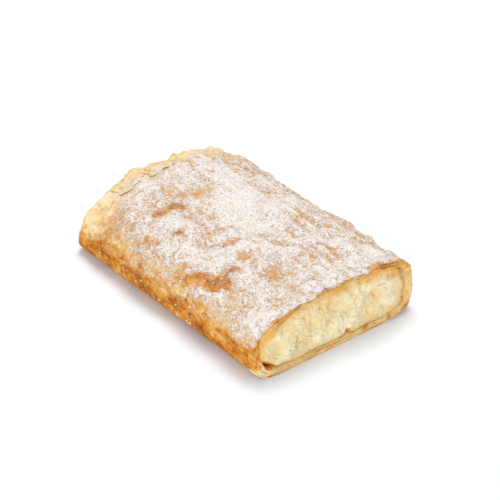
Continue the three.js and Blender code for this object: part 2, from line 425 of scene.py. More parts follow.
def sugar_cover(place, normal, loose=False):
    """Share of the dough that sugar covers, from 0 to 1. A loose leaf is dusted up to its torn edge."""
    # it starts at a line across the roll, which lies nearer the far end at the back than at the front
    line = -41.0 - 12.0 * rise(place.y, -36.0, -12.0) + 1.0 * rise(place.y, -5.0, 20.0)
    fade = 14.0 - 4.5 * rise(place.y, -26.0, -8.0)
    from_line = rise(place.x + 5.0 * bumps(place, 8, 8, 3.1), line - fade, line + fade)
    # it falls from above, so little stays on what is steep, and less still on the lower sides
    facing_up = (0.32 + 0.68 * rise(normal.z, -0.1, 0.95)) * rise(normal.z, -0.5, -0.1)
    back_edge = 1 - 0.35 * rise(place.y + 4 * bumps(place, 10, 10, 7.3), 24.0, 34.0)
    sparse_below = 13.0 - 4.0 * rise(place.x, 0.0, 35.0)
    height = place.z + 3.0 * bumps(place, 12, 8, 5.7)
    above_foot = 0.24 + 0.76 * rise(height, sparse_below, sparse_below + 13.0)
    # it drifts into patches of three sizes, and into streaks along the wrinkles of the back half
    patches = 0.76 + 0.36 * bumps(place, 17, 12, 1.9) + 0.16 * bumps(place, 5, 4, 8.3)
    patches += 0.34 * bumps(place, 4.5, 3.6, 2.7)
    patches += 0.46 * bumps(place, 14, 2.6, 0.4) * rise(place.y, -25.0, 10.0)
    patches -= 0.08 * rise(place.x, 15.0, 45.0) * (1 - rise(place.y, 5.0, 25.0))
    patches -= 0.06 * (1 - rise(place.x, -45.0, -20.0)) + 0.12 * rise(place.y, 5.0, 25.0)
    # folds, the blister and the torn corner stay almost bare
    _, bare = fold_shape(place)
    rubbed = 1 - max(0.84 * bare, 0.86 * on_blister(place))
    cover = from_line * facing_up * above_foot * (patches - unevenness(place)) * rubbed * back_edge
    if not loose:
        cover *= 1 - torn_corner(place)
    heaps = SPECKLE * (bumps(place, 1.7, 1.7, 4.9) + 0.6 * bumps(place, 0.9, 0.9, 2.4))
    return min(max(cover + heaps * rise(cover, 0.0, 0.4), 0.0), 1.0)


crest = Vector((10, 5, 28))
print("sugar on the crest:", round(sugar_cover(crest, UP), 2))

# %% Map of browning
LEAF_SPACING = 0.75
SCORCHES = [(14.1, 2.3), (26.1, 1.8), (29.7, 11.9)]  # scorched spots on the near cut: y and z


def leaf_lines(place, depth, thickness):
    """Noise from about -1 to 1 that is drawn out along the leaves of dough where a cut shows them."""
    return noise.noise((depth * thickness / LEAF_SPACING, angle_at(place) * 7.0, place.x / 20.0))


def cut_browning(place):
    """How far the edges of the dough's leaves are baked where a cut shows them."""
    depth, thickness = crust_depth(place)
    low_down = 1 - rise(place.z, 8.0, 16.0)
    outermost = 0.12 * (1 - low_down) * (1 - rise(depth, 0.0, 0.4))
    edges = 0.29 - 0.02 * low_down + outermost
    edges += (0.07 + 0.06 * low_down) * leaf_lines(place, depth, thickness)
    if place.x > 0:
        edges -= 0.10 * (1 - rise(place.y, -36.0, -24.0)) * low_down
        edges += 0.16 * rise(place.z, 15.0, 21.0)
        edges += 0.40 * (1 - rise(place.y, -38.5, -35.0)) * rise(place.z, 3.0, 6.0)
        to_scorch = min(math.hypot(place.y - y, place.z - z) for y, z in SCORCHES)
        edges += 0.45 * (1 - rise(to_scorch, 0.5, 1.6))
    return edges


def browning(place, normal, loose=False):
    """How far the dough is baked: 0 is pale, 1 is dark brown. Loose leaves are as pale as a cut."""
    # the foot is dark with a ragged upper edge, and the far end is pale above it
    foot = 1 - rise(place.z + 3.2 * bumps(place, 6, 4, 2.2) + 1.5 * bumps(place, 2.5, 2, 5.3), 8.5, 15.0)
    far_end = 1 - rise(place.x + 3.0 * bumps(place, 7, 7, 6.4), -54.0, -38.0)
    cut = 1.0 if loose else rise(abs(normal.x), 0.5, 0.9)
    # bare folds are darker, partly painted shade at their core; the blister's wrinkles are darker, and the
    # whole skin is mottled, most on its sides
    _, bare = fold_shape(place)
    mottle = 0.20 * bumps(place, 8, 6, 4.4) + 0.18 * bumps(place, 2.6, 2.2, 7.7)
    mottle *= 1 + 0.45 * rise(abs(normal.y), 0.3, 0.7) - 0.6 * far_end
    # painted shade: the blister grows darker towards the near cut, which makes it look rounded
    painted_shade_towards_cut = rise(place.x, BLISTER["x"] - 10, BLISTER["x"] + 10)
    wrinkled = on_blister(place) * (0.14 + 0.12 * painted_shade_towards_cut + 0.20 * bumps(place, 14, 1.3, 3.7))
    top = rise(normal.z, 0.5, 0.9)
    pale_end = far_end * (1 - foot) * (1 - 0.22 * rise(place.y, -24.0, -12.0))
    skin = 0.46 + 0.29 * foot + 0.14 * top - 0.40 * pale_end + 0.34 * bare ** 3 + wrinkled + mottle
    # the near end is darker where its outer leaf is torn away, and paler on the front and along the base
    skin += 0.10 * torn_corner(place)
    skin -= 0.09 * rise(place.x, 25.0, 50.0) * rise(-normal.y, 0.3, 0.7)
    skin -= 0.35 * rise(place.x, NEAR_CUT - 5, NEAR_CUT - 1) * (1 - rise(place.z, 2.0, 7.0))
    if cut > 0:
        skin += (cut_browning(place) - skin) * cut
    return min(max(skin, 0.0), 1.0)


print("browning of the crest:", round(browning(crest, UP), 2))

# %% [markdown]
# ## The crust
#
# The piece starts as a copy of the solid. Its triangles come loose, so they are merged first, then each is
# cut into sixteen and the facets are smoothed away. What the solid leaves out is raised on it along its
# normals: broad mounds, long thin wrinkles, puckers, a fine crackle, the folds, leaves that overlap down
# the sides and a soft lumpiness where sugar lies thick. A displacement modifier could do this too, but
# working point by point lets each part of the skin have its own relief.

# %% Mesh helpers
MERGE_DISTANCE = 0.003 * MM


def merged_copy(node):
    """A mesh to work on, copied from a solid, with its loose triangles joined."""
    shape = bmesh.new()
    shape.from_mesh(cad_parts[node].data)
    bmesh.ops.remove_doubles(shape, verts=shape.verts, dist=MERGE_DISTANCE)
    return shape


def make_object(name, shape):
    """A smooth-shaded object from a mesh, with its own place in its vertices."""
    mesh = bpy.data.meshes.new(name)
    shape.to_mesh(mesh)
    shape.free()
    if "custom_normal" in mesh.attributes:
        mesh.attributes.remove(mesh.attributes["custom_normal"])
    mesh.shade_smooth()
    piece = bpy.data.objects.new(name, mesh)
    bpy.context.scene.collection.objects.link(piece)
    return piece


print("solids' loose points within", MERGE_DISTANCE / MM, "mm of each other are joined")

# %% Relief of the skin
DEEPEST_DIP = -0.35  # the skin hardly sinks deeper, since the filling holds it up
SHINGLE = 3.6  # height of one overlapping leaf on the sides


def on_skin(place, normal):
    """1 on the outside of the sleeve, and 0 on its cut rims and its lining."""
    out = Vector((0, place.y / WIDTH ** 2, (place.z - MIDDLE_LEVEL) / HEIGHT ** 2)).normalized()
    return rise(normal.dot(out), 0.25, 0.65) * (1 - rise(abs(normal.x), 0.45, 0.75))


def skin_relief(place, normal):
    """How far the finished skin stands proud of the solid, in millimetres."""
    facing_up = rise(normal.z, 0.0, 0.6)
    above_base = rise(place.z, 1.0, 6.0)
    wrinkles = 1.3 * facing_up * bumps(place, 14, 2.6, 0.4) * rise(place.y, -25, 10)
    ruffled = 1 + 1.2 * (1 - rise(place.x, FAR_CUT + 4, FAR_CUT + 20))
    puckers = (0.34 * ruffled + 0.60 * facing_up) * bumps(place, 4.5, 3.6, 2.7)
    mounds = 1.3 * facing_up * bumps(place, 11, 8, 6.1)
    crackle = (0.12 + 0.26 * (1 - facing_up)) * bumps(place, 1.9, 1.5, 5.2)
    lumps = 0.32 * sugar_cover(place, normal)
    shingle = (place.z / SHINGLE + 1.1 * bumps(place, 13, 5, 3.6)) % 1.0
    layers = 0.42 * (shingle - 0.5) * rise(-normal.z, -0.55, -0.15)
    folds, _ = fold_shape(place)
    back_shoulder = 0.8 * rise(normal.y, 0.2, 0.6) * rise(normal.z, 0.2, 0.6)
    raised = folds + wrinkles + puckers + mounds + crackle + lumps + layers + back_shoulder - 0.4
    return above_base * max(raised, DEEPEST_DIP + 0.15 * (raised - DEEPEST_DIP))


print("relief of the crest:", round(skin_relief(crest, UP), 2), "mm")

# %% Relief of the cut rims
GAP_CLOSING = 0.65  # share of the solid's gaps between leaves that soft dough closes
DEEPEST_GAP = 2.5  # a gap counts as this deep at most
NEXT_LEAF = 1.1  # a rim is compared with the leaves that lie this far above and below it


def rim_level(place, side):
    """How far along the roll the solid's cut rim lies at a place, seen from outside that cut."""
    start = Vector((side * OUTSIDE, place.y, place.z)) * MM
    hit, _, _, _ = pastry_solid.ray_cast(start, Vector((-side, 0, 0)))
    return hit.x / MM if hit else None


def rim_relief(place):
    """How far the edges of the dough's leaves stand out of a cut, in millimetres."""
    depth, thickness = crust_depth(place)
    leafy = 0.15 + 0.20 * (1 - rise(place.z, 8.0, 18.0))
    leaves = leafy * leaf_lines(place, depth, thickness)
    side = math.copysign(1.0, place.x)
    out = towards_skin(angle_at(place))
    beside = [rim_level(place + step * out, side) for step in (-NEXT_LEAF, NEXT_LEAF)]
    sunk = max([side * level - abs(place.x) for level in beside if level is not None], default=0.0)
    closing = GAP_CLOSING * min(max(sunk, 0.0), DEEPEST_GAP)
    return closing + leaves + 0.25 * bumps(place, 9, 1.6, 3.3) + 0.15 * bumps(place, 9, 0.8, 6.6)


def corner_fullness(place, normal):
    """How far the near cut's lower corners are let out: the back one is squarer, the front one fuller."""
    by_cut = rise(place.x, NEAR_CUT - 20, NEAR_CUT - 5)
    low = 1 - rise(place.z, 5.0, 10.0)
    back = rise(place.y, 27.0, 35.0) * low * rise(place.z, 0.2, 1.5)
    front = (1 - rise(place.y, -34.0, -28.0)) * low
    packed = front * rise(-normal.dot(towards_skin(angle_at(place))), 0.3, 0.8)
    return by_cut * (1.3 * back * Vector((0, 0.9, -0.4)) + 1.2 * packed * normal)


print("the near cut's base rim, in mm along the roll:", rim_level(Vector((0, 0, 1.5)), 1.0))

# %% Crust mesh
CUTS_PER_EDGE = 3
SMOOTHING_ROUNDS = 6
SHARP_ENDS = 2.2  # this close to a cut the solid's torn leaves stay as they are

crust_shape = merged_copy("pastry")
bmesh.ops.subdivide_edges(crust_shape, edges=crust_shape.edges[:], cuts=CUTS_PER_EDGE, use_grid_fill=True)
between_cuts = [
    v for v in crust_shape.verts
    if FAR_CUT + SHARP_ENDS < v.co.x / MM < NEAR_CUT - SHARP_ENDS
]
for _ in range(SMOOTHING_ROUNDS):
    bmesh.ops.smooth_vert(
        crust_shape, verts=between_cuts, factor=0.5, use_axis_x=True, use_axis_y=True, use_axis_z=True
    )
crust_shape.normal_update()
moves = []
for v in crust_shape.verts:
    place = v.co / MM
    normal = v.normal.copy()
    move = normal * on_skin(place, normal) * skin_relief(place, normal)
    facing_cut = rise(abs(normal.x), 0.4, 0.8)
    if facing_cut > 0:
        move.x += math.copysign(facing_cut * rim_relief(place), place.x)
    moves.append((move + corner_fullness(place, normal)) * MM)
for v, move in zip(crust_shape.verts, moves):
    v.co += move
crust = make_object("crust", crust_shape)
print("crust:", len(crust.data.polygons), "faces")

# %% [markdown]
# ## Painting the maps on a mesh
#
# An attribute is a number kept at every point of a mesh. Each piece of dough gets three, which the material
# reads by name: sugar for what lies on it in heaps, dust for the haze between them, and brown for the
# baking.

# %% Paint the crust
RIM_REACH = 3.5  # this close to a cut the crust is split, and sugar lies on its outermost leaf only
SPILL_WIDTH = 1.3  # so far sugar has fallen over the edge of a cut
HAZE = 0.40  # share of the dough's colour that dust hides on top, even on bare folds
THICKEST_DUST = 0.85  # and the most that it hides anywhere


def paint(piece, dusted=1.0, loose=False):
    """Keeps the maps of browning, and of sugar and dust times dusted, at every point of a piece."""
    mesh = piece.data
    sugar = mesh.attributes.new("sugar", "FLOAT", "POINT")
    dust = mesh.attributes.new("dust", "FLOAT", "POINT")
    brown = mesh.attributes.new("brown", "FLOAT", "POINT")
    for i, v in enumerate(mesh.vertices):
        place = v.co / MM
        normal = mesh.vertex_normals[i].vector.copy()
        if loose and normal.z < 0:
            normal.negate()
        on_top = on_skin(place, normal)
        cover = sugar_cover(place, normal, loose)
        if abs(place.x) > NEAR_CUT - RIM_REACH and dusted > 0:
            depth, thickness = crust_depth(place)
            on_top *= 1 - rise(depth * thickness, 0.3, 0.7)
            over_edge = rise(place.z, 11.0, 18.0) * (1 - rise(depth * thickness, 0.2, SPILL_WIDTH))
            over_edge *= rise(normal.x, 0.45, 0.75) * rise(bumps(place, 3, 1.8, 6.8), -0.5, 0.3)
            cover = max(on_top * cover, over_edge * sugar_cover(place, UP, loose))
        else:
            cover *= on_top
        haze = HAZE * on_top * rise(place.x, FAR_CUT - 2, FAR_CUT + 14) * (1 - 0.6 * on_blister(place))
        settled = dusted * rise(normal.z, 0.1, 0.8) * max(2.0 * cover, haze)
        sugar.data[i].value = min(dusted * cover, 1.0)
        dust.data[i].value = min(settled, THICKEST_DUST)
        brown.data[i].value = browning(place, normal, loose and dusted == 0.0)


paint(crust)
covers = [point.value for point in crust.data.attributes["sugar"].data]
print("mean sugar cover:", round(sum(covers) / len(covers), 2))

# %% [markdown]
# ## Finish: baked strudel dough
#
# Baked dough is a dry matt skin, slightly greasy from butter, and its leaves are so thin that light glows
# through their edges. Its colour runs from straw to amber with the browning, broken by small scorched
# freckles, which are weaker where the dough is pale.
#
# The sugar that is finer than any grain we can model is a white film on it: noise of a heap's size is
# compared with the sugar map, so that the film closes where the map is high and breaks into specks where it
# is low. The film is whitest where sugar lies thick and is painted greyer in small hollows, as their shade.
# Between the specks the dust map greys the dough: partly with sugar dust, partly with painted shade between
# the grains.

# %% Baked dough material
# sizes of the patterns in millimetres
FRECKLE = 1.6
SPECK = 1.1
FINE_SPECK = 0.55  # real grains are far finer, but this is the finest that shows
HOLLOW_SHADE = 0.8


def baked_dough(name):
    """Crust colours by the browning map, with a film of sugar and dust by their maps."""
    material, tree, surface = new_material(name)
    where = add_node(tree, "TexCoord").outputs["Object"]
    brown = add_node(tree, "Attribute", {"attribute_name": "brown"}).outputs["Fac"]
    sugar = add_node(tree, "Attribute", {"attribute_name": "sugar"}).outputs["Fac"]
    dust = add_node(tree, "Attribute", {"attribute_name": "dust"}).outputs["Fac"]

    freckles = add_node(tree, "TexNoise", inputs={
        "Vector": where, "Scale": per_metre(FRECKLE), "Detail": 4.0, "Roughness": 0.65,
    }).outputs["Fac"]
    freckled = add_node(tree, "MapRange", inputs={
        "Value": freckles, "From Min": 0.3, "From Max": 0.75, "To Min": -0.22, "To Max": 0.25,
    }).outputs["Result"]
    on_dark = add_node(tree, "MapRange", inputs={
        "Value": brown, "From Min": 0.1, "From Max": 0.5, "To Min": 0.35, "To Max": 1.0,
    }).outputs["Result"]
    scorched = add_node(tree, "Math", {"operation": "MULTIPLY"}, {0: freckled, 1: on_dark}).outputs["Value"]
    baked = add_node(tree, "Math", {"operation": "ADD", "use_clamp": True}, {
        0: brown, 1: scorched,
    }).outputs["Value"]
    colours = add_node(tree, "ValToRGB", inputs={"Fac": baked})
    ramp = colours.color_ramp.elements
    ramp[0].color = linear("#ffefcf")
    ramp[1].color = linear("#94500f")
    ramp.new(0.22).color = linear("#fad89d")
    ramp.new(0.45).color = linear("#e8b05c")
    ramp.new(0.64).color = linear("#dc9029")
    ramp.new(0.84).color = linear("#bd6c12")

    specks = add_node(tree, "TexNoise", inputs={
        "Vector": where, "Scale": per_metre(SPECK), "Detail": 2.0, "Roughness": 0.6,
    }).outputs["Fac"]
    fine_specks = add_node(tree, "TexNoise", inputs={
        "Vector": where, "Scale": per_metre(FINE_SPECK), "Detail": 1.0,
    }).outputs["Fac"]
    grit = add_node(tree, "Math", {"operation": "ADD"}, {0: specks, 1: fine_specks}).outputs["Value"]
    heaped_up = add_node(tree, "Math", {"operation": "MULTIPLY"}, {0: sugar, 1: 1.8}).outputs["Value"]
    heap = add_node(tree, "Math", {"operation": "MULTIPLY_ADD"}, {
        0: grit, 1: 4.0, 2: heaped_up,
    }).outputs["Value"]
    closed = add_node(tree, "MapRange", {"interpolation_type": "SMOOTHSTEP"}, {
        "Value": heap, "From Min": 4.60, "From Max": 5.10, "To Min": 0.0, "To Max": 1.0,
    }).outputs["Result"]
    dusted = add_node(tree, "MapRange", {"interpolation_type": "SMOOTHSTEP"}, {
        "Value": sugar, "From Min": 0.06, "From Max": 0.30,
    }).outputs["Result"]
    heaped = add_node(tree, "Math", {"operation": "MULTIPLY"}, {0: closed, 1: dusted}).outputs["Value"]
    browned = add_node(tree, "Math", {"operation": "MULTIPLY", "use_clamp": True}, {
        0: baked, 1: 2.0,
    }).outputs["Value"]
    dust_and_shade_share = add_node(tree, "Math", {"operation": "MULTIPLY"}, {0: dust, 1: browned}).outputs["Value"]
    film = add_node(tree, "Math", {"operation": "MAXIMUM"}, {0: heaped, 1: dust}).outputs["Value"]
    # painted shade: the film is greyer in small hollows that this noise marks
    hollow_shade_noise = add_node(tree, "TexNoise", inputs={
        "Vector": where, "Scale": per_metre(HOLLOW_SHADE), "Detail": 2.0, "Roughness": 0.7,
    }).outputs["Fac"]
    shaded = add_node(tree, "MapRange", {"interpolation_type": "SMOOTHSTEP"}, {
        "Value": hollow_shade_noise, "From Min": 0.46, "From Max": 0.72,
    }).outputs["Result"]
    thick = add_node(tree, "MapRange", {"interpolation_type": "SMOOTHSTEP"}, {
        "Value": sugar, "From Min": 0.35, "From Max": 0.95,
    }).outputs["Result"]
    bright = add_node(tree, "Mix", {"data_type": "RGBA"}, {
        "Factor": thick, "A": linear("#e7dacf"), "B": linear("#f3ebe3"),
    }).outputs["Result"]
    powder = add_node(tree, "Mix", {"data_type": "RGBA"}, {
        "Factor": shaded, "A": bright, "B": linear("#d0c2b6"),
    }).outputs["Result"]
    # sugar dust greys the dough between the heaps; its dark grey-brown is partly painted shade between
    # grains
    dust_and_shade_colour = add_node(tree, "Mix", {"data_type": "RGBA"}, {
        "Factor": dust_and_shade_share, "A": colours.outputs["Color"], "B": linear("#bda58a"),
    }).outputs["Result"]
    sugared = add_node(tree, "Mix", {"data_type": "RGBA"}, {"Factor": heaped, "A": dust_and_shade_colour, "B": powder})

    grain = add_node(tree, "Math", {"operation": "ADD"}, {0: film, 1: freckled}).outputs["Value"]
    relief = add_node(tree, "Bump", inputs={"Height": grain, "Strength": 0.7, "Distance": 0.3 * MM})
    shine = add_node(tree, "MapRange", inputs={
        "Value": film, "From Min": 0.0, "From Max": 1.0, "To Min": 0.48, "To Max": 0.9,
    }).outputs["Result"]
    skin = add_node(tree, "BsdfPrincipled", inputs={
        "Base Color": sugared.outputs["Result"],
        "Roughness": shine,
        "IOR": 1.45,
        "Specular IOR Level": 0.10,
        "Subsurface Weight": 0.12,
        "Subsurface Radius": (1.0, 0.55, 0.25),
        "Subsurface Scale": 0.8 * MM,
        "Normal": relief.outputs["Normal"],
    })
    tree.links.new(skin.outputs["BSDF"], surface)
    return material


dough = baked_dough("baked_strudel_dough")
crust.data.materials.append(dough)
print("dough material has", len(dough.node_tree.nodes), "nodes")

# %% [markdown]
# ## The curd filling
#
# The filling is sweetened curd cheese, baked until it sets. A knife drags it, so the cut is not flat: soft
# lumps, small crumbs that tore out, an air pocket by the base. The solid's block is cut finer and its two
# faces are pushed in and out with noise of the sizes of curds. Its sides are let out by the gap that the
# solids keep, so that it touches the crust as real curd does, all but the lower front corner.

# %% Relief of the filling's cuts
CURD = 5.0  # size of the large lumps
SMALL_CURD = 2.3
# an air pocket by the base of the near cut and a pit in its face: middle in y and z, half width and half
# height, depth, and how much darker golden each is painted inside, as its shade
Hollow = namedtuple("Hollow", "y z half_width half_height depth toast")
HOLLOWS = [Hollow(5.4, 3.9, 2.3, 1.8, 2.4, 0.95), Hollow(-19.5, 11.4, 1.0, 2.2, 0.9, 0.6)]


def way_to_crust(place, direction):
    """Distance from a place in the filling to the crust in one direction, in millimetres."""
    start = Vector((math.copysign(NEAR_CUT - WHOLE_CRUST, place.x), place.y, place.z)) * MM
    _, _, _, distance = pastry_solid.ray_cast(start, direction)
    return 0.0 if distance is None else distance / MM


def in_hollow(place, hollow):
    """1 in the middle of a hollow in the near cut, and 0 outside it."""
    away = math.hypot((place.y - hollow.y) / hollow.half_width, (place.z - hollow.z) / hollow.half_height)
    return 1 - rise(away, 0.45, 1.0) if place.x > 0 else 0.0


def curd_lump(place, size):
    """Rounded lumps about this large that press against each other: 1 on top of one, 0 between them."""
    spot = Vector((math.copysign(9.0, place.x), place.y / size, place.z / size))
    spot += 0.3 * noise.noise_vector(1.3 * spot)
    nearest = noise.voronoi(spot)[0][0]
    return max(0.0, 1 - nearest ** 2)


def curd_relief(place):
    """How far a cut face of the filling stands out of the solid's in millimetres, and how lumpy it is."""
    ways = [(way_to_crust(place, way), way) for way in (UP, DOWN, BACK, FRONT)]
    edge, nearest = min(ways, key=lambda pair: pair[0])
    side = math.copysign(1.0, place.x)
    rims = [rim_level(place + (edge + step) * nearest, side) for step in (0.6, 1.7)]
    ahead = [side * (rim - place.x) for rim in rims if rim is not None] or [0.5]
    level = ahead[0] + GAP_CLOSING * min(max(ahead[-1] - ahead[0], 0.0), DEEPEST_GAP)
    beside_rim = min(max(level, -1.3), 2.0) + 0.1
    soft = 0.60 * bumps(place, 50, 6.5, 1.3)
    lumps = 0.62 * curd_lump(place, CURD) + 0.38 * curd_lump(place, SMALL_CURD)
    lumps *= 0.5 + 0.9 * rise(bumps(place, 50, 7.0, 5.1), -0.4, 0.4)
    crumbs = 0.38 * bumps(place, 50, 0.9, 7.9)
    torn = -0.9 * rise(bumps(place, 50, 4.0, 9.6), 0.25, 0.6)
    pits = -sum(hollow.depth * in_hollow(place, hollow) for hollow in HOLLOWS)
    inside = rise(edge, 0.2, 2.5)
    body = soft + 1.5 * lumps + torn
    return beside_rim * (1 - inside) + inside * body + crumbs + pits, inside * lumps


print(len(HOLLOWS), "hollows, the deepest", max(hollow.depth for hollow in HOLLOWS), "mm")

# %% Filling mesh
FILLING_CUTS = 5
SIDE_GROWTH = 0.6
SMEARED = 0.9  # the knife drags curd this much further over the rim, less so at the base
CORNER_GROWTH = -0.3  # the lower front corner shrinks away from the crust

filling_shape = merged_copy("filling")
bmesh.ops.subdivide_edges(filling_shape, edges=filling_shape.edges[:], cuts=FILLING_CUTS, use_grid_fill=True)
filling_shape.normal_update()
moves = []
lump_shares = []
for v in filling_shape.verts:
    place = v.co / MM
    facing_cut = rise(abs(v.normal.x), 0.35, 0.8)
    relief, lump = curd_relief(place) if facing_cut > 0 else (0.0, 0.0)
    outwards = Vector((math.copysign(1.0, place.x), 0, 0))
    sideways = Vector((0, v.normal.y, v.normal.z))
    corner = (1 - rise(place.y, -34.0, -27.0)) * (1 - rise(place.z, 5.0, 10.0))
    at_cut = rise(abs(place.x), NEAR_CUT - 6, NEAR_CUT - 3)
    ragged = 1 + 1.1 * bumps(place, 50, 2.6, 3.9)
    smeared = SMEARED * at_cut * ragged * (1 - 0.6 * rise(-sideways.z, 0.2, 0.8))
    growth = (SIDE_GROWTH + smeared) * (1 - corner) + CORNER_GROWTH * corner
    moves.append((outwards * facing_cut * relief + sideways * growth) * MM)
    lump_shares.append(lump)
for v, move in zip(filling_shape.verts, moves):
    v.co += move
filling = make_object("curd_filling", filling_shape)
filling.data.attributes.new("lump", "FLOAT", "POINT").data.foreach_set("value", lump_shares)
print("filling:", len(filling.data.polygons), "faces")

# %% [markdown]
# ## Finish: baked curd cheese
#
# Set curd is moist and slightly see-through, so light softens inside it and its shadows stay warm. It is
# cream where it is fresh and toasted where it lay against the hot crust. How close the crust is can be
# measured: rays are cast from each point up, down, back and to the front, and the shorter the way, the more
# toasted it is. The same map holds painted shade: the hollows are darker golden inside, and the crevice at
# the lower front corner is dark red-brown, partly scorch and partly shade. The far cut lies in cool shade,
# so it is painted a little more golden all over: painted warm light.

# %% Toast the filling
TOAST_DEPTH = 5.6
# painted warm light: the far cut, which lies in cool shade, is made a little more golden all over
FAR_CUT_WARMING = 0.14
# a crevice in the near cut's lower front corner, painted dark red-brown: partly scorch, partly shade
CREVICE = {
    "middle": Vector((0, -32.9, 5.3)), "along": Vector((0, 0.78, -0.62)), "half_length": 4.3,
}
# stretches of the near cut's top edge that are toasted most: middle and half width in y
GOLDEN_STRETCHES = [(-33.0, 9.0), (0.5, 6.0), (15.5, 7.0), (31.0, 9.0)]
DRIP = {"y": -4.6, "half_width": 1.8, "low": 16.5, "high": 20.5}  # golden juice that ran down the near cut

toast = filling.data.attributes.new("toast", "FLOAT", "POINT")
for i, v in enumerate(filling.data.vertices):
    place = v.co / MM
    near_cut = 1.0 if place.x > 0 else 0.0
    drips = 1.0 + 0.7 * bumps(place, 50, 3.0, 6.2)
    golden = max(1 - rise(abs(place.y - y), 0.4 * half, half) for y, half in GOLDEN_STRETCHES)
    under_top = (0.45 + 0.55 * golden) * (1 - rise(way_to_crust(place, UP), 0.0, TOAST_DEPTH * drips))
    off_drip = abs(place.y - DRIP["y"]) / DRIP["half_width"]
    drip = near_cut * 0.7 * (1 - rise(off_drip, 0.2, 1.0)) * rise(place.z, DRIP["low"], DRIP["high"])
    by_back = 0.70 * (1 - rise(way_to_crust(place, BACK), 0.3, 4.5))
    by_front = (0.70 - 0.35 * rise(place.z, 9.0, 14.0)) * (1 - rise(way_to_crust(place, FRONT), 0.1, 2.5))
    over_base = 0.5 * (1 - rise(way_to_crust(place, DOWN), 0.0, 1.4 * drips))
    # painted shade: the hollows are darker golden inside
    shade_in_pits = max(hollow.toast * in_hollow(place, hollow) for hollow in HOLLOWS)
    along, off = CREVICE["along"], place - CREVICE["middle"]
    off.x = 0.0
    off -= min(max(off.dot(along), -CREVICE["half_length"]), CREVICE["half_length"]) * along
    crevice_scorch_and_shade = near_cut * 2.0 * (1 - rise(off.length, 0.3, 1.2))
    toasted_and_shaded = max(under_top, drip, by_back, by_front, over_base, shade_in_pits, crevice_scorch_and_shade)
    toast.data[i].value = max(toasted_and_shaded, FAR_CUT_WARMING * (1 - near_cut) + 0.8 * toasted_and_shaded)
print("toasted share:", round(sum(d.value for d in toast.data) / len(toast.data), 2))

# %% Baked curd material
# sizes of the patterns in millimetres
CURD_GRAIN = 1.3
CURD_PATCH = 6.0


def baked_curd(name):
    """Cream curd, paler on lumps, golden by the map of toast and shade, dark red-brown where it passes 1."""
    material, tree, surface = new_material(name)
    where = add_node(tree, "TexCoord").outputs["Object"]
    toast = add_node(tree, "Attribute", {"attribute_name": "toast"}).outputs["Fac"]
    lump = add_node(tree, "Attribute", {"attribute_name": "lump"}).outputs["Fac"]
    grains = add_node(tree, "TexNoise", inputs={
        "Vector": where, "Scale": per_metre(CURD_GRAIN), "Detail": 3.0, "Roughness": 0.6,
    }).outputs["Fac"]
    patches = add_node(tree, "TexNoise", inputs={
        "Vector": where, "Scale": per_metre(CURD_PATCH), "Detail": 2.0,
    }).outputs["Fac"]
    patchy = add_node(tree, "MapRange", inputs={
        "Value": patches, "From Min": 0.35, "From Max": 0.65,
    }).outputs["Result"]
    cream = add_node(tree, "Mix", {"data_type": "RGBA"}, {
        "Factor": patchy, "A": linear("#edcd8e"), "B": linear("#f2dca7"),
    }).outputs["Result"]
    curdled = add_node(tree, "Math", {"operation": "ADD"}, {0: lump, 1: grains}).outputs["Value"]
    paler = add_node(tree, "MapRange", {"interpolation_type": "SMOOTHSTEP"}, {
        "Value": curdled, "From Min": 0.6, "From Max": 1.9,
    }).outputs["Result"]
    curds = add_node(tree, "Mix", {"data_type": "RGBA"}, {
        "Factor": paler, "A": cream, "B": linear("#faeecb"),
    }).outputs["Result"]
    uneven = add_node(tree, "Math", {"operation": "MULTIPLY_ADD"}, {
        0: patches, 1: 0.5, 2: -0.25,
    }).outputs["Value"]
    golden_share = add_node(tree, "Math", {"operation": "ADD", "use_clamp": True}, {
        0: toast, 1: uneven,
    }).outputs["Value"]
    toasted_and_shaded = add_node(tree, "Mix", {"data_type": "RGBA"}, {
        "Factor": golden_share, "A": curds, "B": linear("#eeb04e"),
    }).outputs["Result"]
    scorch_and_shade_share = add_node(tree, "MapRange", inputs={
        "Value": toast, "From Min": 1.0, "From Max": 2.0,
    }).outputs["Result"]
    # dark red-brown where the map passes 1, in the crevice: partly scorch, partly painted shade
    scorched = add_node(tree, "Mix", {"data_type": "RGBA"}, {
        "Factor": scorch_and_shade_share, "A": toasted_and_shaded, "B": linear("#b9661f"),
    }).outputs["Result"]
    relief = add_node(tree, "Bump", inputs={"Height": grains, "Strength": 0.55, "Distance": 0.4 * MM})
    body = add_node(tree, "BsdfPrincipled", inputs={
        "Base Color": scorched,
        "Roughness": 0.45,
        "IOR": 1.40,
        "Subsurface Weight": 0.35,
        "Subsurface Radius": (1.0, 0.75, 0.4),
        "Subsurface Scale": 1.6 * MM,
        "Normal": relief.outputs["Normal"],
    })
    tree.links.new(body.outputs["BSDF"], surface)
    return material


curd = baked_curd("baked_curd_cheese")
filling.data.materials.append(curd)
print("curd material has", len(curd.node_tree.nodes), "nodes")

# %% [markdown]
# ## Leaves of dough at the cuts
#
# Strudel dough is rolled up in many layers, and where a knife goes through they part and break at different
# lengths. Each leaf here starts as a flat grid. Its rows are laid along the roll and its columns round it,
# at some depth between skin and lining, with a ragged free edge, and it is then given the thickness of real
# dough.

# %% Leaves at the cuts
LEAF_SEED = 7
LEAF_THICKNESS = 0.32
LEAF_ROOT = 4.0  # length of a leaf that stays in the crust
LEAF_STEP = 0.7
LEAF_ROWS = 5
LEAF_LEVEL = 6.0  # this far from a cut the crust is measured that a leaf lies in
DEEPEST_TEAR = 5.0  # where the rim is torn deeper, a leaf starts at TORN_LEVEL from the cut instead
TORN_LEVEL = 1.5
